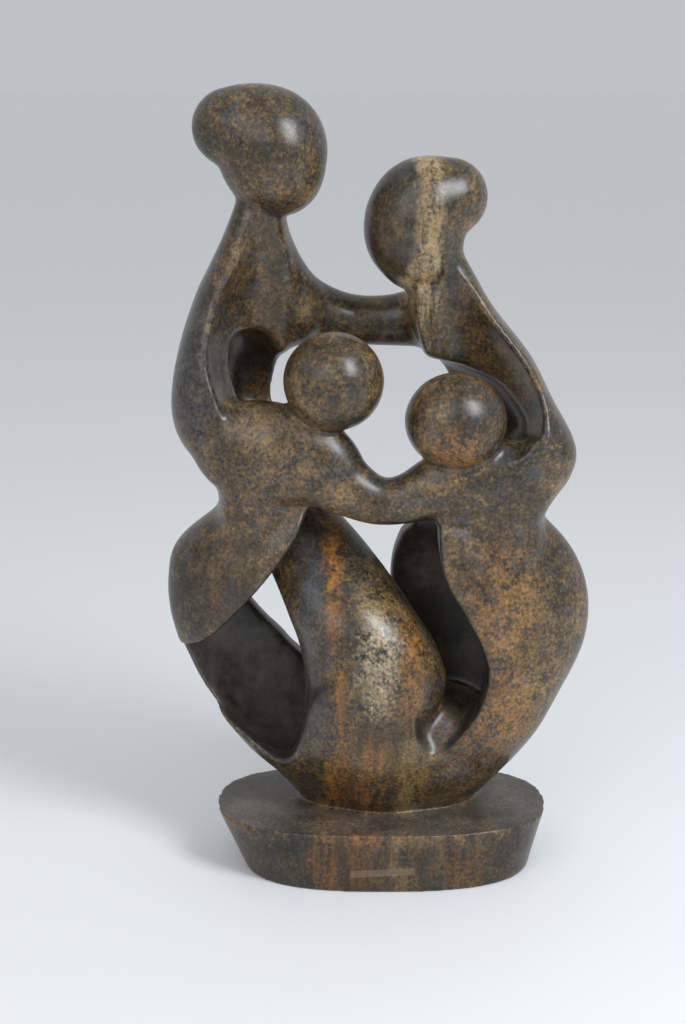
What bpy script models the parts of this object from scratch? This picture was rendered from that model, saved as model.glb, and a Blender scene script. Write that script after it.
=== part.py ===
"""A stone figure group: two parents and two children in one ring, carved with its plinth from one block.

Metres, +Z up, the front towards -Y. The origin is the middle of the plinth's underside.
The figure's stations are written on a grid of 286 squares to its height, so one square is about 1 mm.
Heights are counted from the plinth's top. x and y are counted from the plinth's middle.
"""

import math

import bmesh
import bpy
import numpy as np
from mathutils import Vector

# Driving sizes.
FIGURE_HEIGHT = 0.286  # from the plinth's top to the taller parent's crown
PLINTH_LENGTH = 0.133
PLINTH_DEPTH = 0.075
PLINTH_HEIGHT = 0.024
LEFT_UNDERCUT = 0.011  # how far the left end's foot stands in from its top
RIGHT_UNDERCUT = 0.0065
FACE_UNDERCUT = 0.001  # the same for the long faces
PLINTH_EDGE_RADIUS = 0.0009

# One square of the figure's grid, and the fineness of the carving.
GRID = FIGURE_HEIGHT / 286
VOXEL = 1.6 * GRID
RUB_RADIUS = 5.5  # squares, like the places below
# Places that the carver rubbed down further: a middle and a reach.
RUBBED = [
    ((-35, -5, 212), 17),
    ((-36, 0, 198), 14),
    ((20, -8, 190), 15),
    ((34, -6, 180), 12),
    ((-27, -26, 48), 14),
    ((9, -26, 50), 14),
    ((15, -26, 35), 11),
    ((-8, -30, 61), 16),
]
FIGURE_TRIANGLES = 8600
RING_POINTS = 40
STEPS_PER_SPAN = 8
CAP_STEPS = 6


def at(x, y, z):
    """A point of the figure's grid, in metres."""
    return Vector((x * GRID, y * GRID, PLINTH_HEIGHT + z * GRID))


def along_curve(a, b, c, d, t):
    """A point of the Catmull-Rom span from b to c."""
    return 0.5 * (2 * b + (c - a) * t + (2 * a - 5 * b + 4 * c - d) * t**2 + (3 * b - a - 3 * c + d) * t**3)


def smooth_row(stations, steps=STEPS_PER_SPAN):
    """An open row of stations on a smooth curve through the given ones."""
    rows = np.array(stations, float)
    rows = np.vstack([2 * rows[0] - rows[1], rows, 2 * rows[-1] - rows[-2]])
    found = [along_curve(*rows[i : i + 4], step / steps) for i in range(len(rows) - 3) for step in range(steps)]
    return np.array(found + [rows[-2]])


def smooth_loop(outline, steps=STEPS_PER_SPAN):
    rows = np.array(outline[-1:] + outline + outline[:2], float)
    return [along_curve(*rows[i : i + 4], step / steps) for i in range(len(outline)) for step in range(steps)]


def super_circle(count, front_power, back_power):
    """Points of a unit circle, squared up by a power in its front and back halves: 2 is round."""
    points = []
    for k in range(count):
        u, v = math.cos(2 * math.pi * k / count), math.sin(2 * math.pi * k / count)
        power = back_power if v > 0 else front_power
        points.append((math.copysign(abs(u) ** (2 / power), u), math.copysign(abs(v) ** (2 / power), v)))
    return points


def skin(name, rings):
    """A closed mesh through rings of points, with a flat cap on the first and last."""
    bm = bmesh.new()
    loops = [[bm.verts.new(point) for point in ring] for ring in rings]
    for low, high in zip(loops, loops[1:]):
        for k in range(len(low)):
            n = (k + 1) % len(low)
            bm.faces.new((low[k], low[n], high[n], high[k]))
    bm.faces.new(loops[0][::-1])
    bm.faces.new(loops[-1])
    bmesh.ops.recalc_face_normals(bm, faces=bm.faces)
    return new_object(name, bm)


def limb(name, stations, front_power=2.0, back_power=2.0, level=False, domed=True):
    """A closed form through stations (x, y, z, side radius, depth radius). Level sections lie flat."""
    rows = smooth_row(stations)
    sections = []
    for i, row in enumerate(rows):
        along = Vector(rows[min(i + 1, len(rows) - 1)][:3] - rows[max(i - 1, 0)][:3]).normalized()
        side = Vector((1, 0, 0)) if level else along.cross(Vector((0, 1, 0))).normalized()
        deep = Vector((0, 1, 0)) if level else side.cross(along)
        sections.append((Vector(row[:3]), along, side, deep, row[3], row[4]))
    if domed:
        sections = dome(sections[0], -1)[::-1] + sections + dome(sections[-1], 1)
    circle = super_circle(RING_POINTS, front_power, back_power)
    rings = []
    for centre, _, side, deep, side_radius, depth_radius in sections:
        rings.append([at(*(centre + side * (u * side_radius) + deep * (v * depth_radius))) for u, v in circle])
    return skin(name, rings)


def dome(section, outwards):
    """Shrinking copies of an end section, which round that end off."""
    centre, along, side, deep, side_radius, depth_radius = section
    reach = min(side_radius, depth_radius)
    copies = []
    for step in range(1, CAP_STEPS):
        angle = math.pi / 2 * step / CAP_STEPS
        shift = along * (outwards * reach * math.sin(angle))
        shrink = math.cos(angle)
        copies.append((centre + shift, along, side, deep, side_radius * shrink, depth_radius * shrink))
    return copies


def ball(name, centre, radii):
    bm = bmesh.new()
    bmesh.ops.create_uvsphere(bm, u_segments=RING_POINTS, v_segments=RING_POINTS // 2, radius=1)
    for vert in bm.verts:
        vert.co = at(*(Vector(centre) + Vector(c * r for c, r in zip(vert.co, radii))))
    return new_object(name, bm)


def bean(name, stations):
    """A head: balls strung close along a curve through stations (x, y, z, radius, depth radius)."""
    return [
        ball(f"{name}_{i}", (x, y, z), (radius, depth_radius, radius))
        for i, (x, y, z, radius, depth_radius) in enumerate(smooth_row(stations, 4))
    ]


def window(name, levels):
    """A cutter through levels (y, smooth outline in x and z), so that its walls can lean."""
    rings = [[at(x, y, z) for x, z in smooth_loop(outline)] for y, outline in levels]
    return skin(name, rings)


def new_object(name, bm):
    mesh = bpy.data.meshes.new(name)
    bm.to_mesh(mesh)
    bm.free()
    made = bpy.data.objects.new(name, mesh)
    bpy.context.scene.collection.objects.link(made)
    return made


def applied(obj):
    """Turns the object's modifiers into its mesh."""
    bpy.context.view_layer.update()
    graph = bpy.context.evaluated_depsgraph_get()
    obj.data = bpy.data.meshes.new_from_object(obj.evaluated_get(graph))
    obj.modifiers.clear()
    return obj


def fused(name, pieces):
    """One closed skin round all the pieces."""
    bm = bmesh.new()
    for piece in pieces:
        bm.from_mesh(piece.data)
        bpy.data.objects.remove(piece)
    made = new_object(name, bm)
    remesh = made.modifiers.new("Fuse", "REMESH")
    remesh.mode = "VOXEL"
    remesh.voxel_size = VOXEL
    return applied(made)


def combined(block, other, operation):
    step = block.modifiers.new(operation, "BOOLEAN")
    step.operation = operation
    step.solver = "EXACT"
    step.object = other
    applied(block)
    bpy.data.objects.remove(other)
    return block


def mesh_arrays(mesh):
    """The mesh's points, and both ends of every edge, each way round."""
    points = np.empty(len(mesh.vertices) * 3)
    mesh.vertices.foreach_get("co", points)
    edges = np.empty(len(mesh.edges) * 2, np.int64)
    mesh.edges.foreach_get("vertices", edges)
    edges = edges.reshape(-1, 2)
    return points.reshape(-1, 3), np.concatenate([edges, edges[:, ::-1]])


def pull(points, edges):
    """From each point to the mean of its neighbours."""
    count = np.bincount(edges[:, 0], minlength=len(points))
    sums = [np.bincount(edges[:, 0], weights=points[edges[:, 1], k], minlength=len(points)) for k in range(3)]
    return np.stack(sums, axis=1) / count[:, None] - points


def rounds(radius):
    return round((radius * GRID / VOXEL) ** 2)


def rub(obj):
    """Rounds the skin further at the rubbed places."""
    points, edges = mesh_arrays(obj.data)
    weight = np.zeros(len(points))
    for middle, reach in RUBBED:
        far = np.linalg.norm(points - np.array(at(*middle)), axis=1) / (reach * GRID)
        share = np.clip((1 - far) / 0.6, 0, 1)
        weight = np.maximum(weight, share * share * (3 - 2 * share))
    for _ in range(rounds(RUB_RADIUS)):
        points = points + 0.6 * weight[:, None] * pull(points, edges)
    obj.data.vertices.foreach_set("co", points.ravel())
    obj.data.update()


def polish(obj, valley_radius, ridge_radius):
    """Fills creases with a fillet of about valley_radius, then rounds the whole skin by about ridge_radius."""
    mesh = obj.data
    points, edges = mesh_arrays(mesh)
    valley_rounds = rounds(valley_radius)
    for turn in range(valley_rounds + rounds(ridge_radius)):
        step = pull(points, edges)
        if turn < valley_rounds:
            mesh.vertices.foreach_set("co", points.ravel())
            mesh.update()
            normals = np.empty(len(points) * 3)
            mesh.vertex_normals.foreach_get("vector", normals)
            step *= (step * normals.reshape(-1, 3)).sum(axis=1, keepdims=True) > 0
        points = points + 0.6 * step
    mesh.vertices.foreach_set("co", points.ravel())
    mesh.update()
    return obj


def bodies():
    """The parents' bodies, hips and shared bowl as blocks, before hollowing."""
    left_torso = limb(
        "left_torso",
        [
            (-46, 0, 246, 8, 9),
            (-48.5, 1, 233, 10.5, 13),
            (-50, 4, 220, 15, 18),
            (-53.5, 6, 207, 18, 23),
            (-57.5, 6, 190, 20, 27),
            (-59.5, 6, 172, 22, 29),
            (-59, 5, 159, 22.5, 29),
            (-56.5, 4, 149, 21, 29),
            (-52.5, 4, 140, 17, 28),
            (-50, 3, 131, 14, 27),
            (-50, 3, 118, 15, 26),
        ],
        front_power=2.8,
        back_power=2.2,
        level=True,
    )
    right_torso = limb(
        "right_torso",
        [
            (20, 0, 226, 8, 9),
            (22, 2, 213, 13, 14),
            (26.5, 4, 200, 16.5, 21),
            (36, 4, 183, 20.5, 26),
            (44, 4, 166, 21.5, 29),
            (50.5, 4, 150, 23.5, 30),
            (51, 4, 139, 22.5, 29),
            (46.5, 3, 122, 16.5, 27),
            (47, 3, 110, 17, 26),
        ],
        front_power=3.2,
        back_power=2.2,
        level=True,
    )
    bowl = limb(
        "bowl",
        [
            (2, 6, -4, 31, 17),
            (3, 5, 6, 40, 22),
            (3, 4, 14, 47, 26),
            (2, 3, 23, 55.5, 29),
            (1.5, 2, 33, 63, 31.5),
            (0, 2, 47, 71.5, 33.5),
            (0, 2, 64, 79.5, 34.5),
            (-0.8, 2, 79, 83.2, 34.5),
            (-2.2, 2, 94, 82.8, 33.5),
            (-4, 2, 108, 77.5, 31.5),
            (-3, 2, 121, 64, 28),
            (-1, 2, 132, 48, 20),
        ],
        front_power=2.15,
        back_power=2.15,
        level=True,
        domed=False,
    )
    shared_arm = limb(
        "shared_arm",
        [
            (-45, 5, 240, 7, 9),
            (-43.5, 6, 226, 8.5, 11),
            (-38.5, 9.5, 211.5, 10, 12),
            (-29.5, 15.5, 200.6, 10.5, 11),
            (-14, 19.5, 194, 10.2, 9.5),
            (2, 20, 193.5, 10, 9.5),
            (16, 18, 195, 12.5, 10),
            (26, 14, 195, 16, 11),
        ],
    )
    shoulder = ball("shoulder", (-38, 11, 197), (15, 12, 13))
    return [left_torso, right_torso, bowl, shared_arm, shoulder]


def hollows():
    """What the carver takes out of the blocks."""
    left_chest = limb(
        "left_chest",
        [
            (-41, -40, 244, 12, 31.5),
            (-41.5, -40, 232, 16, 33),
            (-43, -40, 219, 19, 36),
            (-45.5, -40, 207, 21, 39),
            (-46, -40, 195, 22.5, 41),
            (-46.6, -40, 182, 22.5, 42),
            (-45.4, -40, 170, 19.5, 42),
            (-45, -40, 160, 16, 42),
        ],
        level=True,
        domed=False,
    )
    pocket = [(-51, 3, 185, 9, 12), (-50, 7, 177, 14, 15), (-48.5, 10, 168, 16, 16.5)]
    left_pocket = limb("left_pocket", pocket, level=True)
    right_chest = limb(
        "right_chest",
        [
            (14, -40, 222, 12, 31),
            (24, -40, 210, 17, 32),
            (27, -38, 197, 20, 34),
            (34, -36, 182, 22, 36),
            (39.7, -34, 168, 22, 36),
            (38, -34, 154, 22, 36),
        ],
        level=True,
        domed=False,
    )
    # The opening between the parents keeps its front shell up to the children's arms, and narrows to the back.
    top_left = [(-6, 184), (-22, 185), (-34, 184.5), (-41, 178), (-43, 168), (-42, 156)]
    top_right = [(52, 148.5), (55.5, 156), (50, 166), (41, 174), (14, 183)]
    front_rim = top_left + [(-40, 147), (-30, 139), (-12, 131), (12, 130), (30, 136), (44, 144)] + top_right
    wide_rim = top_left + [(-40, 142), (-40, 128), (-24, 104), (12, 112), (30, 128), (44, 141)] + top_right
    narrow_right = [(10, 112), (16, 122), (22, 134), (24, 148), (21, 160), (16, 170), (11, 178), (4, 182.5)]
    narrow_rim = top_left + [(-40, 142), (-40, 128), (-24, 104)] + narrow_right
    upper_opening = window(
        "upper_opening",
        [
            (-60, front_rim),
            (-13, front_rim),
            (5, wide_rim),
            (34, narrow_rim),
            (60, narrow_rim),
        ],
    )
    lower_cavity = limb(
        "lower_cavity",
        [
            (-8, 3, 22, 37, 11),
            (-6.5, 3, 33, 53, 16),
            (-7.5, 4, 48, 62, 19),
            (-8.5, 4, 64, 68, 20),
            (-10, 4, 80, 70, 20),
            (-9, 4, 96, 66, 19),
            (-4, 3, 112, 48, 14),
        ],
        front_power=2.2,
        back_power=2.2,
        level=True,
    )
    # The front window stops at the folded leg, so that the leg runs down into the bowl.
    left_edge = [(-24, 133), (-33.5, 116), (-45.5, 99), (-57.5, 85), (-68.5, 74), (-84, 63), (-80, 50), (-66, 40)]
    left_foot = [(-54, 32), (-48, 27), (-42.5, 23.5), (-38, 24.5), (-34.5, 29), (-31, 40), (-26, 54)]
    right_foot = [(-12, 64), (3, 60), (12, 47), (14, 37), (18, 30), (23, 30), (29, 36), (37, 47)]
    right_edge = [(40.5, 61), (38, 73), (31, 87), (24, 99), (21, 113), (20, 124), (6, 122), (-8, 126)]
    front_window = window("front_window", [(y, left_edge + left_foot + right_foot + right_edge) for y in (-60, 3)])
    back_right = [(11, 114), (8, 106), (5, 97), (4, 88), (4, 76), (-2, 60), (-18, 44)]
    back_left = [(-34, 56), (-42, 65), (-51, 75), (-57, 87), (-52, 104), (-42, 120), (-20, 126)]
    back_window = window("back_window", [(y, back_right + back_left) for y in (0, 60)])
    return [
        left_chest,
        left_pocket,
        right_chest,
        upper_opening,
        lower_cavity,
        front_window,
        back_window,
    ]


def front_forms():
    """The children's joined arms and bodies, and the folded leg that fills the ring's middle."""
    embrace = limb(
        "embrace",
        [
            (-68, -3, 152, 9, 11),
            (-58, -11, 149.5, 17.5, 14),
            (-42, -16, 147.5, 20, 13),
            (-26, -17, 144, 17, 11),
            (-14, -17, 135, 12, 10),
            (-2, -18, 129.5, 9.2, 9),
            (9, -18, 130.5, 9.7, 9),
            (22, -17, 135, 13, 10.5),
            (38, -15, 137, 15.5, 12),
            (52, -12, 138, 15, 13),
            (61, -7, 140, 11, 13),
        ],
    )
    folded_leg = limb(
        "folded_leg",
        [
            (-44, 15, 134, 13, 11),
            (-37, 12, 122, 16, 12),
            (-28.5, 6, 108, 21, 14),
            (-19, -3, 94, 23.5, 17),
            (-12.5, -8, 83, 25, 20),
            (-5.5, -10, 69, 27, 21.5),
            (-2.5, -10, 54, 28, 22.5),
            (-5, -8, 40, 26, 23),
            (-7.5, -4, 26, 23, 24.5),
            (-1, 3, 8, 28, 23),
        ],
        level=True,
    )
    trough_floor = ball("trough_floor", (22, 2, 25), (27, 26, 24))
    return [embrace, folded_leg, trough_floor]


def heads():
    left_head = bean(
        "left_head",
        [
            (-57.5, -1, 268.5, 14.5, 15),
            (-50, -1, 267, 17.5, 18),
            (-43, -1, 262.5, 20.8, 21),
            (-41.5, -1, 257, 20, 20.5),
            (-40, -1, 253, 17.5, 18),
        ],
    )
    right_head = bean(
        "right_head",
        [
            (24.5, -1, 243, 14.5, 14.5),
            (14.5, -1, 239, 18.7, 18.5),
            (11.5, -1, 231, 19.3, 19),
            (13, -1, 224.5, 17, 17),
        ],
    )
    left_child_head = ball("left_child_head", (-19, -20, 176), (19, 18, 18.7))
    right_child_head = ball("right_child_head", (27, -20, 161), (19.3, 18, 18.2))
    return left_head + right_head + [left_child_head, right_child_head]


def make_plinth():
    """A slab with rounded ends, wider at the top than at the foot."""
    half_length, half_depth = PLINTH_LENGTH / 2, PLINTH_DEPTH / 2
    circle = super_circle(72, 2.6, 2.6)
    foot = []
    for u, v in circle:
        undercut = RIGHT_UNDERCUT if u > 0 else LEFT_UNDERCUT
        foot.append((u * (half_length - undercut), v * (half_depth - FACE_UNDERCUT), 0))
    top = [(u * half_length, v * half_depth, PLINTH_HEIGHT) for u, v in circle]
    plinth = skin("plinth", [foot, top])
    bevel = plinth.modifiers.new("Worn edges", "BEVEL")
    bevel.width = PLINTH_EDGE_RADIUS
    bevel.segments = 2
    bevel.limit_method = "ANGLE"
    bevel.angle_limit = math.radians(40)
    return applied(plinth)


def stone():
    material = bpy.data.materials.new("stone")
    material.use_nodes = True
    shader = material.node_tree.nodes["Principled BSDF"]
    shader.inputs["Base Color"].default_value = (0.115, 0.075, 0.038, 1)
    shader.inputs["Roughness"].default_value = 0.35
    shader.inputs["Metallic"].default_value = 0
    return material


def main():
    for obj in list(bpy.data.objects):
        bpy.data.objects.remove(obj)
    block = combined(fused("block", bodies()), fused("carved_out", hollows()), "DIFFERENCE")
    ring = polish(fused("ring", [block] + front_forms()), 4.8, 1.6)
    rub(ring)
    figure = polish(fused("figure_group", [ring] + heads()), 2.5, 2.8)
    thin = figure.modifiers.new("Facets", "DECIMATE")
    thin.ratio = min(1, FIGURE_TRIANGLES / (2 * len(figure.data.polygons)))
    applied(figure)
    combined(figure, make_plinth(), "UNION")
    figure.data.shade_smooth()
    figure.data.set_sharp_from_angle(angle=math.radians(40))
    figure.data.materials.clear()
    figure.data.materials.append(stone())
    collection = bpy.data.collections.new("stone_figure_group")
    bpy.context.scene.collection.children.link(collection)
    bpy.context.scene.collection.objects.unlink(figure)
    collection.objects.link(figure)


main()
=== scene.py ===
# Stone figure group: two parents and two children in one ring, carved with their plinth from one stone.
import math

import bmesh
import bpy
import numpy as np
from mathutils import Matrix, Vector, kdtree, noise
from mathutils.bvhtree import BVHTree


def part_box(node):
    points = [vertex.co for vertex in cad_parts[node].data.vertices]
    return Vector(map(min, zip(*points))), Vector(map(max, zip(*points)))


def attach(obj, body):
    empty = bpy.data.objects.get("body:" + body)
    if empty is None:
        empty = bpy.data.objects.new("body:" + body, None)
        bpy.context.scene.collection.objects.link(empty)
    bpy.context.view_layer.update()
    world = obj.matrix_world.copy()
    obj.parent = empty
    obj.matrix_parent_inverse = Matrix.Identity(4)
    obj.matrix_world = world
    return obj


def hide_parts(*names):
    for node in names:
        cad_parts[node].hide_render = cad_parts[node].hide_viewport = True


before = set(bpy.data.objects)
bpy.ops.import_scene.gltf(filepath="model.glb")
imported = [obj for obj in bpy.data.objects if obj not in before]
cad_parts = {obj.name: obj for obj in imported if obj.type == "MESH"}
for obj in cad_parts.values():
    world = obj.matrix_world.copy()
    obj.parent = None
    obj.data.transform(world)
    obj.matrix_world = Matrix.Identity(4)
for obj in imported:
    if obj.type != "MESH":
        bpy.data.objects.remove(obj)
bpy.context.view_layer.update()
cadLow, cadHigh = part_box("figure_group")
print("frame loaded")


# Shape tools. Stations are on a grid of 286 squares to the figure's height, counted from the plinth's top.

grid = {
    "figureHeight": 0.286,  # from the plinth's top to the taller crown
    "squares": 286,
    "ringPoints": 64,
    "stepsPerSpan": 12,
    "capSteps": 10,
    "ballsPerSpan": 8,
    "roundness": 0.6,  # how far a point goes to its neighbours' mean in one round of smoothing
}
square = grid["figureHeight"] / grid["squares"]


def pointAt(x, y, z):
    return Vector((x * square, y * square, plinth["height"] + z * square))


def alongCurve(a, b, c, d, t):  # Catmull-Rom, from b to c
    bend = (2 * a - 5 * b + 4 * c - d) * t**2 + (3 * b - a - 3 * c + d) * t**3
    return 0.5 * (2 * b + (c - a) * t + bend)


def smoothRow(stations, steps):
    rows = np.array(stations, float)
    rows = np.vstack([2 * rows[0] - rows[1], rows, 2 * rows[-1] - rows[-2]])
    spans = range(len(rows) - 3)
    found = [alongCurve(*rows[i : i + 4], step / steps) for i in spans for step in range(steps)]
    return np.array(found + [rows[-2]])


def smoothLoop(outline, steps):
    rows = np.array(outline[-1:] + outline + outline[:2], float)
    spans = range(len(outline))
    return [alongCurve(*rows[i : i + 4], step / steps) for i in spans for step in range(steps)]


def superCircle(count, frontPower, backPower):  # a power of 2 is round, more is squarer
    points = []
    for k in range(count):
        u, v = math.cos(2 * math.pi * k / count), math.sin(2 * math.pi * k / count)
        power = backPower if v > 0 else frontPower
        points.append((math.copysign(abs(u) ** (2 / power), u), math.copysign(abs(v) ** (2 / power), v)))
    return points


def newObject(name, bm):
    mesh = bpy.data.meshes.new(name)
    bm.to_mesh(mesh)
    bm.free()
    made = bpy.data.objects.new(name, mesh)
    bpy.context.scene.collection.objects.link(made)
    return made


def skin(name, rings):  # closed, with a flat cap at each end
    bm = bmesh.new()
    loops = [[bm.verts.new(point) for point in ring] for ring in rings]
    for low, high in zip(loops, loops[1:]):
        for k in range(len(low)):
            n = (k + 1) % len(low)
            bm.faces.new((low[k], low[n], high[n], high[k]))
    bm.faces.new(loops[0][::-1])
    bm.faces.new(loops[-1])
    bmesh.ops.recalc_face_normals(bm, faces=bm.faces)
    return newObject(name, bm)


def dome(section, outwards):
    centre, along, side, deep, sideRadius, depthRadius = section
    reach = min(sideRadius, depthRadius)
    copies = []
    for step in range(1, grid["capSteps"]):
        angle = math.pi / 2 * step / grid["capSteps"]
        shift = along * (outwards * reach * math.sin(angle))
        shrink = math.cos(angle)
        copies.append((centre + shift, along, side, deep, sideRadius * shrink, depthRadius * shrink))
    return copies


def limb(name, stations, frontPower=2.0, backPower=2.0, level=False, domed=True):
    # Stations are x, y, z, side radius and depth radius. Level sections stay flat to the ground.
    rows = smoothRow(stations, grid["stepsPerSpan"])
    sections = []
    for i, row in enumerate(rows):
        along = Vector(rows[min(i + 1, len(rows) - 1)][:3] - rows[max(i - 1, 0)][:3]).normalized()
        side = Vector((1, 0, 0)) if level else along.cross(Vector((0, 1, 0))).normalized()
        deep = Vector((0, 1, 0)) if level else side.cross(along)
        sections.append((Vector(row[:3]), along, side, deep, row[3], row[4]))
    if domed:
        sections = dome(sections[0], -1)[::-1] + sections + dome(sections[-1], 1)
    circle = superCircle(grid["ringPoints"], frontPower, backPower)
    rings = []
    for centre, _, side, deep, sideRadius, depthRadius in sections:
        ring = [centre + side * (u * sideRadius) + deep * (v * depthRadius) for u, v in circle]
        rings.append([pointAt(*point) for point in ring])
    return skin(name, rings)


def ball(name, centre, radii):
    bm = bmesh.new()
    around = grid["ringPoints"]
    bmesh.ops.create_uvsphere(bm, u_segments=around, v_segments=around // 2, radius=1)
    for vert in bm.verts:
        vert.co = pointAt(*(Vector(centre) + Vector(c * r for c, r in zip(vert.co, radii))))
    return newObject(name, bm)


def bean(name, stations):  # a head, as balls strung close along a curve
    return [
        ball(f"{name}{i}", (x, y, z), (radius, depthRadius, radius))
        for i, (x, y, z, radius, depthRadius) in enumerate(smoothRow(stations, grid["ballsPerSpan"]))
    ]


def window(name, levels):  # a cutter through smooth outlines in x and z, each at its own y
    smooth = [(y, smoothLoop(outline, grid["stepsPerSpan"])) for y, outline in levels]
    return skin(name, [[pointAt(x, y, z) for x, z in outline] for y, outline in smooth])


def applied(obj):
    bpy.context.view_layer.update()
    graph = bpy.context.evaluated_depsgraph_get()
    obj.data = bpy.data.meshes.new_from_object(obj.evaluated_get(graph))
    obj.modifiers.clear()
    return obj


def fused(name, pieces):  # one closed skin round them all
    bm = bmesh.new()
    for piece in pieces:
        bm.from_mesh(piece.data)
        bpy.data.objects.remove(piece)
    made = newObject(name, bm)
    remesh = made.modifiers.new("Fuse", "REMESH")
    remesh.mode = "VOXEL"
    remesh.voxel_size = polishing["voxel"]
    return applied(made)


def cutAway(block, cutter):
    step = block.modifiers.new("Carve", "BOOLEAN")
    step.operation = "DIFFERENCE"
    step.solver = "MANIFOLD"
    step.object = cutter
    return applied(block)


def stepBetween(values, low, high):
    share = np.clip((values - low) / (high - low), 0, 1)
    return share * share * (3 - 2 * share)


class Skin:  # a mesh's points, its neighbours and its normals as arrays
    def __init__(self, obj):
        self.mesh = obj.data
        self.points = np.empty(len(self.mesh.vertices) * 3)
        self.mesh.vertices.foreach_get("co", self.points)
        self.points = self.points.reshape(-1, 3)
        edges = np.empty(len(self.mesh.edges) * 2, np.int64)
        self.mesh.edges.foreach_get("vertices", edges)
        edges = edges.reshape(-1, 2)
        self.ends = np.concatenate([edges[:, 0], edges[:, 1]])
        self.others = np.concatenate([edges[:, 1], edges[:, 0]])
        self.count = np.bincount(self.ends, minlength=len(self.points))

    def around(self, values):  # each point's mean over its neighbours
        return np.bincount(self.ends, weights=values[self.others], minlength=len(values)) / self.count

    def pull(self):  # from each point to the mean of its neighbours
        return np.stack([self.around(self.points[:, k]) for k in range(3)], axis=1) - self.points

    def normals(self):
        self.write()
        found = np.empty(len(self.points) * 3)
        self.mesh.vertex_normals.foreach_get("vector", found)
        return found.reshape(-1, 3)

    def write(self):
        self.mesh.vertices.foreach_set("co", self.points.ravel())
        self.mesh.update()


def polish(obj, valleyRadius, ridgeRadius):
    # Fills creases with a fillet of about valleyRadius, then rounds the whole skin by about ridgeRadius.
    stone = Skin(obj)
    valleyRounds = round((valleyRadius / polishing["voxel"]) ** 2)
    ridgeRounds = round((ridgeRadius / polishing["voxel"]) ** 2)
    for turn in range(valleyRounds + ridgeRounds):
        step = stone.pull()
        if turn < valleyRounds:
            step *= (step * stone.normals()).sum(axis=1, keepdims=True) > 0
        stone.points = stone.points + grid["roundness"] * step
    stone.write()
    return obj


def rub(obj):
    # Rounds the places that the carver rubbed down further. Each is a middle and a reach in squares.
    stone = Skin(obj)
    weight = np.zeros(len(stone.points))
    for middle, reach in polishing["rubbed"]:
        far = np.linalg.norm(stone.points - np.array(pointAt(*middle)), axis=1) / (reach * square)
        weight = np.maximum(weight, 1 - stepBetween(far, polishing["rubCore"], 1.0))
    for _ in range(round((polishing["rubRadius"] / polishing["voxel"]) ** 2)):
        stone.points = stone.points + grid["roundness"] * weight[:, None] * stone.pull()
    stone.write()


# The carving, in metres for sizes and in squares for stations.

plinth = {
    "length": 0.133,
    "depth": 0.075,
    "height": 0.024,
    "leftUndercut": 0.011,  # how far the left end's foot stands in from its top
    "rightUndercut": 0.0065,
    "faceUndercut": 0.001,
    "squareness": 2.6,
    "outlinePoints": 144,
}
polishing = {
    "voxel": 0.0008,
    "armFillet": 0.0048,
    "legFillet": 0.0022,
    "headCrease": 0.0012,
    "footFillet": 0.0016,
    "edge": 0.0014,
    "rubRadius": 0.0055,
    "rubCore": 0.4,  # the share of a rubbed place's reach that is rubbed in full
    "rubbed": [
        ((-35, -5, 212), 17),
        ((-35, -3, 230), 13),
        ((-36, 0, 198), 14),
        ((-37, -2, 189), 13),
        ((20, -8, 190), 15),
        ((34, -6, 180), 12),
        ((-27, -26, 48), 14),
        ((-22, -27, 60), 13),
        ((9, -26, 50), 14),
        ((15, -26, 35), 11),
        ((-8, -30, 61), 16),
    ],
    "triangles": 185000,
}
parents = {
    "leftSquareness": (2.8, 2.2),  # in front and at the back
    "rightSquareness": (3.2, 2.2),
    "bowlSquareness": (2.15, 2.15),
    "leftTorso": [
        (-46, 0, 246, 8, 9),
        (-48.5, 1, 233, 10.5, 13),
        (-50, 4, 220, 15, 18),
        (-53.5, 6, 207, 18, 23),
        (-57.5, 6, 190, 20, 27),
        (-59.5, 6, 172, 22, 29),
        (-59, 5, 159, 22.5, 29),
        (-56.5, 4, 149, 21, 29),
        (-52.5, 4, 140, 17, 28),
        (-50, 3, 131, 14, 27),
        (-50, 3, 118, 15, 26),
    ],
    "rightTorso": [
        (20, 0, 226, 8, 9),
        (22, 2, 213, 13, 14),
        (26.5, 4, 200, 16.5, 21),
        (36, 4, 183, 20.5, 26),
        (44, 4, 166, 21.5, 29),
        (50.5, 4, 150, 23.5, 30),
        (51, 4, 139, 22.5, 29),
        (46.5, 3, 122, 16.5, 27),
        (47, 3, 110, 17, 26),
    ],
    "bowl": [
        (2, 6, -4, 31, 17),
        (3, 5, 6, 40, 22),
        (3, 4, 14, 47, 26),
        (2, 3, 23, 55.5, 29),
        (1.5, 2, 33, 63, 31.5),
        (0, 2, 47, 71.5, 33.5),
        (0, 2, 64, 79.5, 34.5),
        (-0.8, 2, 79, 83.2, 34.5),
        (-2.2, 2, 94, 82.8, 33.5),
        (-4, 2, 108, 77.5, 31.5),
        (-3, 2, 121, 64, 28),
        (-1, 2, 132, 48, 20),
    ],
    "sharedArm": [
        (-45, 5, 240, 7, 9),
        (-43.5, 6, 226, 8.5, 11),
        (-38.5, 9.5, 211.5, 10, 12),
        (-29.5, 15.5, 200.6, 10.5, 11),
        (-14, 19.5, 194, 10.2, 9.5),
        (2, 20, 193.5, 10, 9.5),
        (16, 18, 195, 12.5, 10),
        (26, 14, 195, 16, 11),
    ],
    "shoulder": ((-38, 11, 197), (15, 12, 13)),
}
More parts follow.
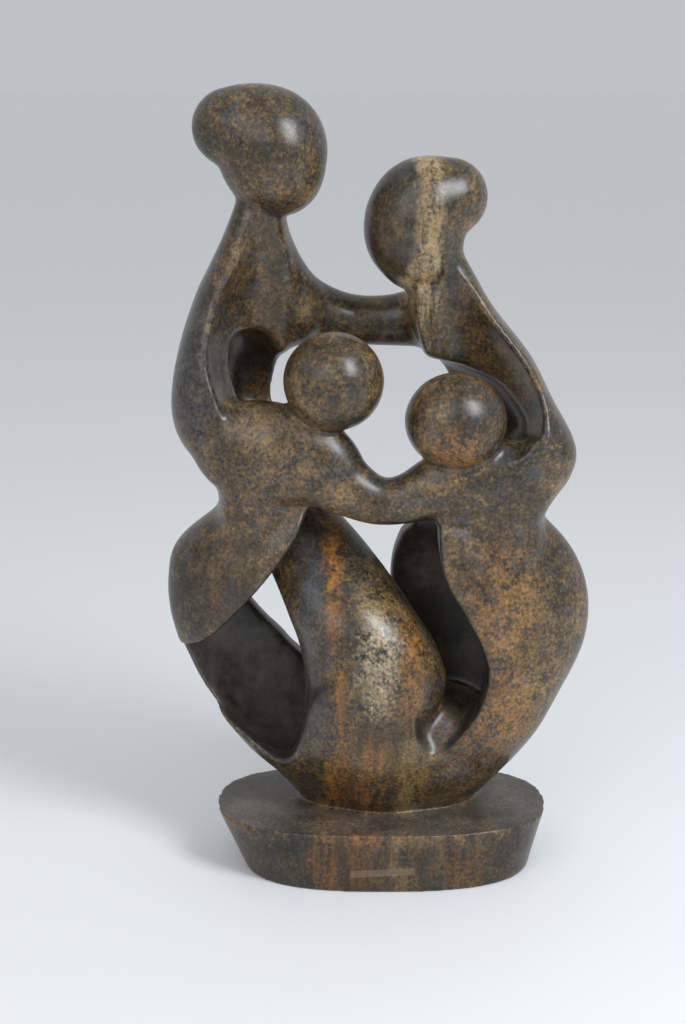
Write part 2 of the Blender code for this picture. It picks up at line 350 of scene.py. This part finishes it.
hollows = {
    "past": 60,  # how far the windows reach in front and behind
    "frontWindowEnd": 3,
    "backWindowStart": 0,
    "cavitySquareness": (2.2, 2.2),
    "leftChest": [
        (-41, -40, 244, 12, 31.5),
        (-41.5, -40, 232, 16, 33),
        (-43, -40, 219, 19, 36),
        (-45.5, -40, 207, 21, 39),
        (-46, -40, 195, 22.5, 41),
        (-46.6, -40, 182, 22.5, 42),
        (-45.4, -40, 170, 19.5, 42),
        (-45, -40, 160, 16, 42),
    ],
    "leftPocket": [(-51, 3, 185, 9, 12), (-50, 7, 177, 14, 15), (-48.5, 10, 168, 16, 16.5)],
    "rightChest": [
        (14, -40, 222, 12, 31),
        (24, -40, 210, 17, 32),
        (27, -38, 197, 20, 34),
        (34, -36, 182, 22, 36),
        (39.7, -34, 168, 22, 36),
        (38, -34, 154, 22, 36),
    ],
    "topLeft": [(-6, 184), (-22, 185), (-34, 184.5), (-41, 178), (-43, 168), (-42, 156)],
    "topRight": [(52, 148.5), (55.5, 156), (50, 166), (41, 174), (14, 183)],
    # In front the stone stays solid up to the joined arms.
    "frontFoot": [(-40, 147), (-30, 139), (-12, 131), (12, 130), (30, 136), (44, 144)],
    "leftFoot": [(-40, 142), (-40, 128), (-24, 104)],
    "wideFoot": [(12, 112), (30, 128), (44, 141)],
    "narrowRight": [(10, 112), (16, 122), (22, 134), (24, 148), (21, 160), (16, 170), (11, 178), (4, 182.5)],
    "lowerCavity": [
        (-8, 3, 22, 37, 11),
        (-6.5, 3, 33, 53, 16),
        (-7.5, 4, 48, 62, 19),
        (-8.5, 4, 64, 68, 20),
        (-10, 4, 80, 70, 20),
        (-9, 4, 96, 66, 19),
        (-4, 3, 112, 48, 14),
    ],
    # The front window stops at the folded leg, so that the leg runs down into the bowl.
    "windowTop": [(-24, 133), (-33.5, 116), (-45.5, 99), (-57.5, 85), (-68.5, 74)],
    "windowLeft": [(-84, 63), (-80, 50), (-66, 40)],
    "windowLeftFoot": [(-54, 32), (-48, 27), (-42.5, 23.5), (-38, 24.5), (-34.5, 29), (-31, 40), (-26, 54)],
    "windowRightFoot": [(-12, 64), (3, 60), (12, 47), (14, 37), (18, 30), (23, 30), (29, 36), (37, 47)],
    "windowRight": [(40.5, 61), (38, 73), (31, 87), (24, 99), (21, 113), (20, 124), (6, 122), (-8, 126)],
    "backRightEdge": [(11, 114), (8, 106), (5, 97), (4, 88), (4, 76), (-2, 60), (-18, 44)],
    "backLeftEdge": [(-34, 56), (-42, 65), (-51, 75), (-57, 87), (-52, 104), (-42, 120), (-20, 126)],
}
children = {
    "embrace": [
        (-68, -3, 152, 9, 11),
        (-58, -11, 149.5, 17.5, 14),
        (-42, -16, 147.5, 20, 13),
        (-26, -17, 144, 17, 11),
        (-14, -17, 135, 12, 10),
        (-2, -18, 129.5, 9.2, 9),
        (9, -18, 130.5, 9.7, 9),
        (22, -17, 135, 13, 10.5),
        (38, -15, 137, 15.5, 12),
        (52, -12, 138, 15, 13),
        (61, -7, 140, 11, 13),
    ],
    "foldedLeg": [
        (-44, 15, 134, 13, 11),
        (-37, 12, 122, 16, 12),
        (-28.5, 6, 108, 21, 14),
        (-19, -3, 94, 23.5, 17),
        (-12.5, -8, 83, 25, 20),
        (-5.5, -10, 69, 27, 21.5),
        (-2.5, -10, 54, 28, 22.5),
        (-5, -8, 40, 26, 23),
        (-7.5, -4, 26, 23, 24.5),
        (-1, 3, 8, 28, 23),
    ],
    "troughFloor": ((22, 2, 25), (27, 26, 24)),
}
heads = {
    "leftHead": [
        (-57.5, -1, 268.5, 14.5, 15),
        (-50, -1, 267, 17.5, 18),
        (-43, -1, 262.5, 20.8, 21),
        (-41.5, -1, 257, 20, 20.5),
        (-40, -1, 253, 17.5, 18),
    ],
    "rightHead": [
        (24.5, -1, 243, 14.5, 14.5),
        (14.5, -1, 239, 18.7, 18.5),
        (11.5, -1, 231, 19.3, 19),
        (13, -1, 224.5, 17, 17),
    ],
    "leftChild": ((-19, -20, 176), (19, 18, 18.7)),
    "rightChild": ((27, -20, 161), (19.3, 18, 18.2)),
}


def makeBlock():
    return fused(
        "block",
        [
            limb("leftTorso", parents["leftTorso"], *parents["leftSquareness"], level=True),
            limb("rightTorso", parents["rightTorso"], *parents["rightSquareness"], level=True),
            limb("bowl", parents["bowl"], *parents["bowlSquareness"], level=True, domed=False),
            limb("sharedArm", parents["sharedArm"]),
            ball("shoulder", *parents["shoulder"]),
        ],
    )


def makeHollows():
    early = hollows["topLeft"] + hollows["frontFoot"] + hollows["topRight"]
    wide = hollows["topLeft"] + hollows["leftFoot"] + hollows["wideFoot"] + hollows["topRight"]
    narrow = hollows["topLeft"] + hollows["leftFoot"] + hollows["narrowRight"]
    leftSide = hollows["windowTop"] + hollows["windowLeft"] + hollows["windowLeftFoot"]
    front = leftSide + hollows["windowRightFoot"] + hollows["windowRight"]
    back = hollows["backRightEdge"] + hollows["backLeftEdge"]
    past = hollows["past"]
    opening = [(-past, early), (-13, early), (5, wide), (34, narrow), (past, narrow)]
    return fused(
        "hollows",
        [
            limb("leftChest", hollows["leftChest"], level=True, domed=False),
            limb("leftPocket", hollows["leftPocket"], level=True),
            limb("rightChest", hollows["rightChest"], level=True, domed=False),
            window("upperOpening", opening),
            limb("lowerCavity", hollows["lowerCavity"], *hollows["cavitySquareness"], level=True),
            window("frontWindow", [(-past, front), (hollows["frontWindowEnd"], front)]),
            window("backWindow", [(hollows["backWindowStart"], back), (past, back)]),
        ],
    )


def makePlinth():
    halfLength, halfDepth = plinth["length"] / 2, plinth["depth"] / 2
    foot, top = [], []
    for u, v in superCircle(plinth["outlinePoints"], plinth["squareness"], plinth["squareness"]):
        undercut = plinth["rightUndercut"] if u > 0 else plinth["leftUndercut"]
        foot.append((u * (halfLength - undercut), v * (halfDepth - plinth["faceUndercut"]), 0))
        top.append((u * halfLength, v * halfDepth, plinth["height"]))
    return skin("plinth", [foot, top])


def makeHeads():
    balls = bean("leftHead", heads["leftHead"]) + bean("rightHead", heads["rightHead"])
    return balls + [ball("leftChild", *heads["leftChild"]), ball("rightChild", *heads["rightChild"])]


carvedOut = makeHollows()
hollowSkin = BVHTree.FromObject(carvedOut, bpy.context.evaluated_depsgraph_get())
ring = cutAway(makeBlock(), carvedOut)
bpy.data.objects.remove(carvedOut)
print("block hollowed:", len(ring.data.polygons), "faces")
ring = polish(fused("ring", [ring, limb("embrace", children["embrace"])]), polishing["armFillet"], 0)
foldedLeg = limb("foldedLeg", children["foldedLeg"], level=True)
troughFloor = ball("troughFloor", *children["troughFloor"])
ring = polish(fused("ring", [ring, foldedLeg, troughFloor]), polishing["legFillet"], polishing["edge"])
rub(ring)
ring = polish(fused("figure", [ring] + makeHeads()), polishing["headCrease"], polishing["edge"])
figure = polish(fused("carvedStone", [ring, makePlinth()]), polishing["footFillet"], polishing["edge"])
print("figure fused:", len(figure.data.polygons), "faces")


# What the finish follows: hollowed walls and creases, where shade is painted, worn edges and the plinth's
# sawn top.

wearAndShade = {
    "ridge": (0.12, 0.5),  # one over the radius in mm, from unworn to fully worn
    # concave creases, where shade is painted, by the same measure of bend in one over the radius in mm
    "crease": (0.1, 0.5),
    "bendRounds": 3,
    "reach": 0.003,  # how near a wall is to the hollow that made it
    "facing": -0.7,  # and how squarely it looks into it
    "hollow": (0.15, 0.6),
    "hollowRounds": 6,
    "hollowShadeFade": (0.155, 0.175),  # heights between which the painted shade in the hollows fades to the share below
    "darkLeft": 0.2,
    "slabTop": 0.0015,
    "upright": 0.9,
    "slabRounds": 2,
    "swell": 0.00012,  # what the hand leaves on a rubbed surface
    "swellSize": 0.011,
}


def spread(stone, values, rounds):
    for _ in range(rounds):
        values = stone.around(values)
    return values


def paintMasks(obj):
    stone = Skin(obj)
    normals = stone.normals()
    height = stone.points[:, 2]
    bend = -(stone.pull() * normals).sum(axis=1) * 2 / polishing["voxel"] ** 2 / 1000
    bend = spread(stone, bend, wearAndShade["bendRounds"])
    # Shade is painted on the walls that face into a carved-out hollow, with less of it above the fade
    # heights.
    carved = np.zeros(len(stone.points))
    for i, (point, normal) in enumerate(zip(stone.points, normals)):
        _, facing, _, gap = hollowSkin.find_nearest(Vector(point), wearAndShade["reach"])
        if facing and facing.dot(Vector(normal)) < wearAndShade["facing"]:
            carved[i] = 1 - gap / wearAndShade["reach"]
    carved = spread(stone, carved, wearAndShade["hollowRounds"])
    lowEnd, highEnd = wearAndShade["hollowShadeFade"]
    darkness = stepBetween(-height, -highEnd, -lowEnd) * (1 - wearAndShade["darkLeft"]) + wearAndShade["darkLeft"]
    slabTop = (np.abs(height - plinth["height"]) < wearAndShade["slabTop"]) & (normals[:, 2] > wearAndShade["upright"])
    return stone.points, {
        "ridge": stepBetween(bend, *wearAndShade["ridge"]),
        "crease": stepBetween(-bend, *wearAndShade["crease"]),
        "hollow": stepBetween(carved, *wearAndShade["hollow"]) * darkness,
        "slabTop": spread(stone, slabTop.astype(float), wearAndShade["slabRounds"]),
    }


def unevenness(point):
    size = wearAndShade["swellSize"]
    return wearAndShade["swell"] * (noise.noise(point / size) + 0.5 * noise.noise(point / (size * 0.45)))


def finishMesh(obj):
    dense, masks = paintMasks(obj)
    tree = kdtree.KDTree(len(dense))
    for i, point in enumerate(dense):
        tree.insert(point, i)
    tree.balance()
    thin = obj.modifiers.new("Thin", "DECIMATE")
    thin.ratio = min(1, polishing["triangles"] / (2 * len(obj.data.polygons)))
    applied(obj)
    fine = Skin(obj)
    swell = np.array([unevenness(Vector(point)) for point in fine.points])
    fine.points = fine.points + fine.normals() * swell[:, None]
    nearest = [tree.find(point)[1] for point in fine.points]
    low, high = fine.points.min(axis=0), fine.points.max(axis=0)
    cadSpan = np.array(cadHigh) - np.array(cadLow)
    print("settled into the frame's box, longer by", ((cadSpan - high + low) * 1000).round(2), "mm")
    fine.points = np.array(cadLow) + (fine.points - low) / (high - low) * cadSpan
    fine.write()
    mesh = obj.data
    for name, values in masks.items():
        layer = mesh.attributes.new(name, "FLOAT", "POINT")
        layer.data.foreach_set("value", values[nearest].astype(np.float32))
    mesh.shade_smooth()


finishMesh(figure)
print("masks painted:", len(figure.data.polygons), "triangles")


# Material nodes from Python expressions.

class Wire:  # wraps a socket, so that maths on it adds nodes
    def __init__(self, tree, socket=None):
        self.tree = tree
        self.socket = socket

    def node(self, kind, values, out=0, stops=(), **settings):
        made = self.tree.nodes.new(kind)
        for name, value in settings.items():
            setattr(made, name, value)
        if stops:
            ramp = made.color_ramp.elements
            ramp[0].position, ramp[0].color = stops[0]
            ramp[1].position, ramp[1].color = stops[-1]
            for place, colour in stops[1:-1]:
                ramp.new(place).color = colour
        for key, value in values.items():
            if isinstance(value, Wire):
                self.tree.links.new(value.socket, made.inputs[key])
            else:
                made.inputs[key].default_value = value
        return Wire(self.tree, made.outputs[out])

    def maths(self, operation, first, second):
        return self.node("ShaderNodeMath", {0: first, 1: second}, operation=operation)

    def __add__(self, other):
        return self.maths("ADD", self, other)

    def __sub__(self, other):
        return self.maths("SUBTRACT", self, other)

    def __rsub__(self, other):
        return self.maths("SUBTRACT", other, self)

    def __mul__(self, other):
        return self.maths("MULTIPLY", self, other)

    __radd__ = __add__
    __rmul__ = __mul__


def between(value, low, high):  # 0 below low, 1 above high
    return value.node("ShaderNodeMapRange", {0: value, 1: low, 2: high}, interpolation_type="SMOOTHSTEP")


def blend(factor, under, over):
    return factor.node("ShaderNodeMix", {0: factor, 6: under, 7: over}, out=2, data_type="RGBA")


def multiplied(colour, tone):
    grey = tone.node("ShaderNodeCombineColor", {0: tone, 1: tone, 2: tone})
    inputs = {0: 1.0, 6: colour, 7: grey}
    return tone.node("ShaderNodeMix", inputs, out=2, data_type="RGBA", blend_type="MULTIPLY")


def magnitude(value):
    return value.node("ShaderNodeMath", {0: value}, operation="ABSOLUTE")


def moved(place, shift=(0, 0, 0), stretch=(1, 1, 1)):
    return place.node("ShaderNodeMapping", {0: place, 1: shift, 3: stretch})


def cloud(place, feature, detail, rough, seed, stretch=(1, 1, 1)):
    spot = moved(place, (seed, -seed, 0.7 * seed), stretch)
    inputs = {"Vector": spot, "Scale": 1 / feature, "Detail": detail, "Roughness": rough}
    return place.node("ShaderNodeTexNoise", inputs)


# Stone colours, with the painted shade and painted reflection for the hollows and creases.
stoneFinishAndShade = {
    "dark": (0.026, 0.022, 0.016, 1),
    "blue": (0.046, 0.049, 0.057, 1),
    "brown": (0.070, 0.046, 0.022, 1),
    "ochre": (0.180, 0.108, 0.040, 1),
    "rust": (0.280, 0.112, 0.016, 1),
    "gold": (0.280, 0.165, 0.045, 1),
    "tan": (0.400, 0.325, 0.210, 1),
    "worn": (0.300, 0.215, 0.125, 1),
    # painted shade, in the hollows and on the trough's floor
    "paintedShade": (0.017, 0.015, 0.012, 1),
    # a painted reflection of the pale room, clouding the painted shade in the hollows
    "paintedReflection": (0.078, 0.073, 0.063, 1),
    "slab": (0.092, 0.080, 0.068, 1),
    # Feature size, detail, roughness, seed and stretch. A stretch under 1 draws it out along that axis.
    "clouds": {
        "grain": (0.0014, 5, 0.68, 0.0),
        "fleck": (0.0009, 3, 0.65, 37.0, (1, 1, 0.6)),
        "pore": (0.0006, 2, 0.5, 31.0),
        "blotch": (0.0055, 3, 0.6, 3.1),
        "patch": (0.028, 2, 0.5, 7.7),
        "cool": (0.0066, 4, 0.65, 11.3),
        "warm": (0.0044, 4, 0.7, 17.9),
        "streak": (0.0035, 4, 0.6, 23.0, (1, 0.6, 0.14)),
        "drift": (0.034, 2, 0.5, 29.0, (1, 1, 0.5)),
        "breaks": (0.014, 3, 0.6, 41.0, (1, 1, 0.45)),
        "smoke": (0.015, 3, 0.6, 53.0, (1, 1, 0.6)),
    },
    "blueShare": 0.65,
    "goldShare": 0.35,
    # shares of the painted reflection and of the painted shade in the hollows
    "paintedReflectionShare": 0.85,
    "hollowShadeShare": 0.88,
    "slabShare": 0.6,
    "creaseShadeShare": 0.35,
    "ridgeShare": 0.5,
    "gloss": 0.30,
    "stripHalf": 0.0122,  # the clear, bare strip on the plinth's front
    "stripHeight": 0.0085,
    "stripRise": 0.06,
    "stripShare": 0.28,
    "grainDepth": 0.00002,
    "refraction": 1.5,
    "wavering": (0.020, 0.006, 0.008),  # how far the veins swerve with the drift, blotch and streak clouds
    # x of the middle, half width, softness, lowest z, highest z, colour, strength
    "veins": [
        (-0.0180, 0.0018, 0.0055, 0.0, 0.150, "rust", 0.90),
        (-0.0220, 0.0018, 0.003, 0.0, 0.050, "rust", 0.80),
        (-0.0290, 0.0050, 0.004, 0.060, 0.150, "blue", 0.80),
        (-0.0080, 0.0050, 0.008, 0.0, 0.070, "rust", 0.60),
        (0.0080, 0.0040, 0.006, 0.0, 0.070, "gold", 0.60),
        (-0.0135, 0.0008, 0.003, 0.0, 0.075, "dark", 0.85),
        (0.0030, 0.0008, 0.003, 0.0, 0.070, "dark", 0.80),
        (0.0200, 0.0022, 0.003, 0.0, 0.040, "dark", 0.90),
        (0.0300, 0.0070, 0.004, 0.0, 0.026, "rust", 0.75),
        (-0.0500, 0.0140, 0.006, 0.0, 0.024, "dark", 0.75),
        (0.0150, 0.0060, 0.0025, 0.225, 0.320, "tan", 0.50),
        (0.0150, 0.0050, 0.0025, 0.225, 0.320, "gold", 0.50),
        (0.0000, 0.0090, 0.003, 0.225, 0.320, "dark", 0.80),
    ],
    # middle, reach, colour, strength
    "patches": [
        ((-0.040, -0.030, 0.172), (0.028, 0.030, 0.024), "ochre", 0.55),
        ((-0.074, -0.010, 0.205), (0.022, 0.030, 0.050), "blue", 0.70),
        ((0.046, -0.030, 0.105), (0.020, 0.030, 0.048), "rust", 0.35),
        ((-0.060, -0.025, 0.120), (0.022, 0.030, 0.030), "dark", 0.45),
        ((0.060, -0.018, 0.075), (0.016, 0.020, 0.020), "gold", 0.45),
        ((0.028, -0.035, 0.176), (0.014, 0.012, 0.012), "rust", 0.60),
        ((-0.002, -0.034, 0.094), (0.0110, 0.020, 0.026), "tan", 0.75),
        ((-0.004, -0.030, 0.118), (0.013, 0.020, 0.016), "gold", 0.60),
        ((0.0110, -0.030, 0.092), (0.0065, 0.020, 0.034), "rust", 0.75),
        ((0.002, -0.030, 0.060), (0.020, 0.020, 0.010), "dark", 0.55),
        ((0.046, -0.030, 0.062), (0.026, 0.030, 0.020), "rust", 0.45),
        # painted shade on the trough's floor, under the right hip band
        ((0.031, -0.010, 0.070), (0.013, 0.013, 0.022), "paintedShade", 0.95),
    ],
}


def makeStone():
    finishAndShade = stoneFinishAndShade
    material = bpy.data.materials.new("veinedStone")
    material.use_nodes = True
    tree = material.node_tree
    shader = tree.nodes["Principled BSDF"]
    place = Wire(tree).node("ShaderNodeTexCoord", {}, out=3)
    x = place.node("ShaderNodeSeparateXYZ", {0: place}, out=0)
    y = place.node("ShaderNodeSeparateXYZ", {0: place}, out=1)
    z = place.node("ShaderNodeSeparateXYZ", {0: place}, out=2)
    names = ("ridge", "crease", "hollow", "slabTop")
    mask = {name: place.node("ShaderNodeAttribute", {}, out=2, attribute_name=name) for name in names}

    clouds = {name: cloud(place, *settings) for name, settings in finishAndShade["clouds"].items()}
    grain, fleck, blotch = clouds["grain"], clouds["fleck"], clouds["blotch"]
    patch, streak = clouds["patch"], clouds["streak"]

    mottle = grain * 0.50 + blotch * 0.38 + patch * 0.32
    colour = blend(between(mottle, 0.48, 0.64), finishAndShade["dark"], finishAndShade["brown"])
    colour = blend(between(mottle, 0.58, 0.76), colour, finishAndShade["ochre"])
    cool = between(clouds["cool"] + grain * 0.3, 0.68, 0.80)
    warm = between(clouds["warm"] + grain * 0.3, 0.70, 0.86)
    colour = blend(cool * finishAndShade["blueShare"], colour, finishAndShade["blue"])
    colour = blend(warm * finishAndShade["goldShare"], colour, finishAndShade["gold"])
    for middle, reach, name, strength in finishAndShade["patches"]:
        spot = moved(place, [-m / r for m, r in zip(middle, reach)], [1 / r for r in reach])
        far = place.node("ShaderNodeVectorMath", {0: spot}, out=1, operation="LENGTH")
        near = 1 - between(far + (blotch - 0.5) * 1.6, 0.45, 1.1)
        colour = blend(near * strength * between(grain + blotch, 0.80, 1.15), colour, finishAndShade[name])
    wide, small, long = finishAndShade["wavering"]
    wavering = x + (clouds["drift"] - 0.5) * wide + (blotch - 0.5) * small + (streak - 0.5) * long
    broken = between(clouds["breaks"], 0.38, 0.56) * 0.5 + 0.5
    for middle, half, soft, low, high, name, strength in finishAndShade["veins"]:
        band = 1 - between(magnitude(wavering - middle), half - soft / 2, half + soft)
        band = band * (1 - between(z, high - 0.02, high)) * between(z, low - 0.012, low + 0.004)
        band = band * broken * between(grain * 0.4 + streak * 0.7, 0.40, 0.66)
        colour = blend(band * strength, colour, finishAndShade[name])
    # A painted reflection of the pale room clouds the painted shade, with more of it lower down.
    reflectionAmount = between(patch + blotch * 0.4 - z * 4.0, 0.30, 0.56) * finishAndShade["paintedReflectionShare"]
    shade = blend(reflectionAmount, finishAndShade["paintedShade"], finishAndShade["paintedReflection"])
    # The hollow walls take the painted shade, lighter higher up.
    colour = blend(mask["hollow"] * finishAndShade["hollowShadeShare"], colour, shade)
    colour = blend(mask["slabTop"] * finishAndShade["slabShare"], colour, finishAndShade["slab"])
    # Painted shade in the concave creases.
    colour = blend(mask["crease"] * finishAndShade["creaseShadeShare"], colour, finishAndShade["dark"])
    colour = blend(mask["ridge"] * between(grain, 0.38, 0.62) * finishAndShade["ridgeShare"], colour, finishAndShade["worn"])
    # The speckle is fainter in the painted shade of the hollows.
    tone = between(fleck * 0.5 + grain * 0.3 + streak * 0.2, 0.38, 0.62) * (0.70 - mask["hollow"] * 0.45)
    smoke = between(clouds["smoke"], 0.36, 0.62) * 0.45 + 0.78
    foot = between(z, 0.016, 0.024) * 0.45 + 0.55  # the plinth's sides are darker
    colour = multiplied(colour, (tone + 0.62 + mask["hollow"] * 0.2) * smoke * foot)
    above = magnitude(z - x * finishAndShade["stripRise"] - finishAndShade["stripHeight"])
    strip = 1 - between(magnitude(x), finishAndShade["stripHalf"], finishAndShade["stripHalf"] + 0.0005)
    strip = strip * (1 - between(above, 0.0013, 0.0016)) * (1 - between(y, -0.032, -0.030))
    colour = blend(strip * finishAndShade["stripShare"], colour, finishAndShade["worn"])
    tree.links.new(colour.socket, shader.inputs["Base Color"])

    rough = finishAndShade["gloss"] + (blotch - 0.5) * 0.16 + mask["slabTop"] * 0.16 + mask["crease"] * 0.15
    rough = rough + mask["hollow"] * 0.08 + (fleck - 0.5) * 0.10 - strip * 0.12
    tree.links.new(rough.socket, shader.inputs["Roughness"])
    relief = grain * 0.5 + streak * 0.2 + clouds["pore"] * 0.3
    bump = place.node("ShaderNodeBump", {"Height": relief, "Strength": 1.0, "Distance": finishAndShade["grainDepth"]})
    tree.links.new(bump.socket, shader.inputs["Normal"])
    shader.inputs["IOR"].default_value = finishAndShade["refraction"]
    return material


figure.data.materials.clear()
figure.data.materials.append(makeStone())
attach(figure, "root")
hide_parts("figure_group")
print("stone finished")


# Pale floor, soft studio light and the photograph's point of view.

studio = {
    "floorSide": 40.0,
    "floorSquares": 12,
    "floorColour": (0.82, 0.82, 0.83, 1),
    "floorRoughness": 0.6,
    "surround": (0.60, 0.62, 0.65, 1),
    "distance": (0.515, 0.535, 0.565, 1),  # seen past the floor, as bright as the floor's far end
    "surroundStrength": 1.0,
    # place, width, height, watts, colour
    "lights": [
        ("window", (0.55, -0.55, 0.75), 0.34, 0.50, 7.5, (0.86, 0.93, 1.0)),
        ("front", (-0.45, -0.95, 0.75), 0.80, 0.80, 3.0, (1.0, 0.98, 0.95)),
    ],
    "litPoint": (0, 0, 0.15),
    "cameraPlace": (-0.0157, -0.6847, 0.3154),
    "cameraTilt": 76,
    "lens": 63.28,
    "sensor": 36,
}


def makeFloor():
    bm = bmesh.new()
    squares = studio["floorSquares"]
    bmesh.ops.create_grid(bm, x_segments=squares, y_segments=squares, size=studio["floorSide"] / 2)
    floor = newObject("floor", bm)
    material = bpy.data.materials.new("paleFloor")
    material.use_nodes = True
    shader = material.node_tree.nodes["Principled BSDF"]
    shader.inputs["Base Color"].default_value = studio["floorColour"]
    shader.inputs["Roughness"].default_value = studio["floorRoughness"]
    floor.data.materials.append(material)


def makeLights():
    world = bpy.data.worlds.new("paleRoom")
    world.use_nodes = True
    tree = world.node_tree
    background = tree.nodes["Background"]
    background.inputs["Strength"].default_value = studio["surroundStrength"]
    seen = Wire(tree).node("ShaderNodeLightPath", {})
    sky = blend(seen, studio["surround"], studio["distance"])
    tree.links.new(sky.socket, background.inputs["Color"])
    bpy.context.scene.world = world
    for name, place, width, height, watts, colour in studio["lights"]:
        light = bpy.data.lights.new(name, "AREA")
        light.shape = "RECTANGLE"
        light.size, light.size_y, light.energy, light.color = width, height, watts, colour
        lamp = bpy.data.objects.new(name, light)
        lamp.location = place
        aim = Vector(studio["litPoint"]) - Vector(place)
        lamp.rotation_euler = aim.to_track_quat("-Z", "Y").to_euler()
        bpy.context.scene.collection.objects.link(lamp)


def makeCamera():
    camera = bpy.data.objects.new("camera", bpy.data.cameras.new("camera"))
    camera.data.lens = studio["lens"]
    camera.data.sensor_width = studio["sensor"]
    camera.location = studio["cameraPlace"]
    camera.rotation_euler = (math.radians(studio["cameraTilt"]), 0, 0)
    bpy.context.scene.collection.objects.link(camera)
    bpy.context.scene.camera = camera


makeFloor()
makeLights()
makeCamera()
bpy.context.scene.view_settings.view_transform = "Standard"
print("studio ready")
